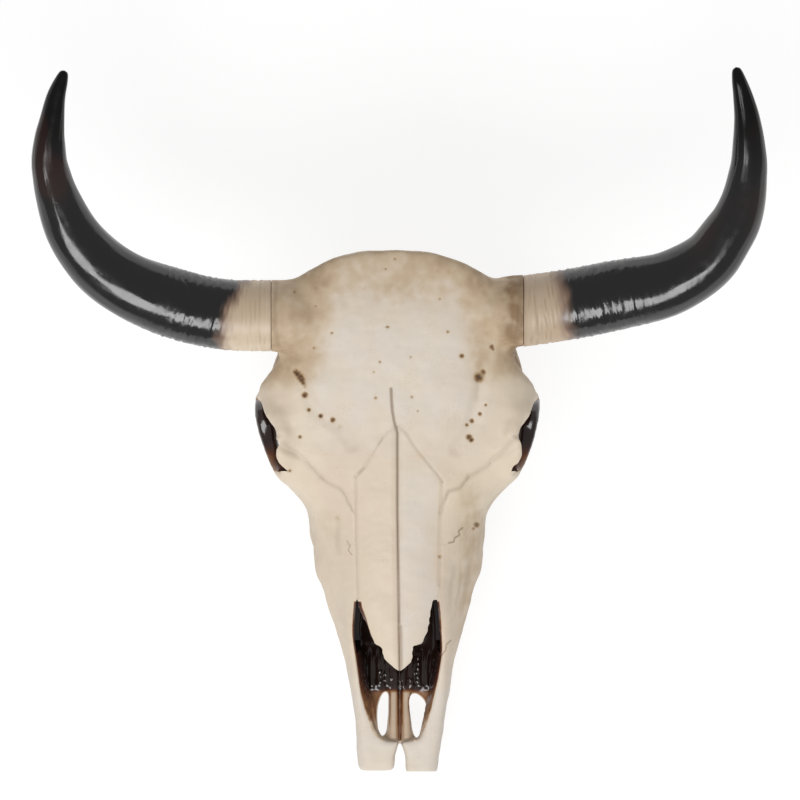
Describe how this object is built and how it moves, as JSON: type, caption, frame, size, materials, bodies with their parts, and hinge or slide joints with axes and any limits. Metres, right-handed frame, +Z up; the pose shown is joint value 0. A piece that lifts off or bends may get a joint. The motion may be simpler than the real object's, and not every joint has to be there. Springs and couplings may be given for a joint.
{
  "type": "cow skull",
  "caption": "Horned domestic cow skull without its lower jaw, lying on its cheek teeth, with separate face bones, open nose and eye sockets and long upswept black horns.",
  "frame": {"origin": "centre of the footprint, on the surface that the skull rests on", "axes": "+Z up, -Y towards the nose, +X towards the animal's left horn"},
  "size_m": [0.6444, 0.6188, 0.24],
  "materials": {
    "bone": "matt dry bone, cream with tan edges, dark and glossy inside the nose and sockets",
    "horn": "glossy black horn with a cream ringed base"
  },
  "bodies": {
    "root": {"frontal": "bone", "braincase": "bone", "nasal_left": "bone", "nasal_right": "bone", "lacrimal_left": "bone", "lacrimal_right": "bone", "zygomatic_left": "bone", "zygomatic_right": "bone", "maxilla_left": "bone", "maxilla_right": "bone", "premaxilla_left": "bone", "premaxilla_right": "bone", "horn_left": "horn", "horn_right": "horn"}
  },
  "joints": []
}
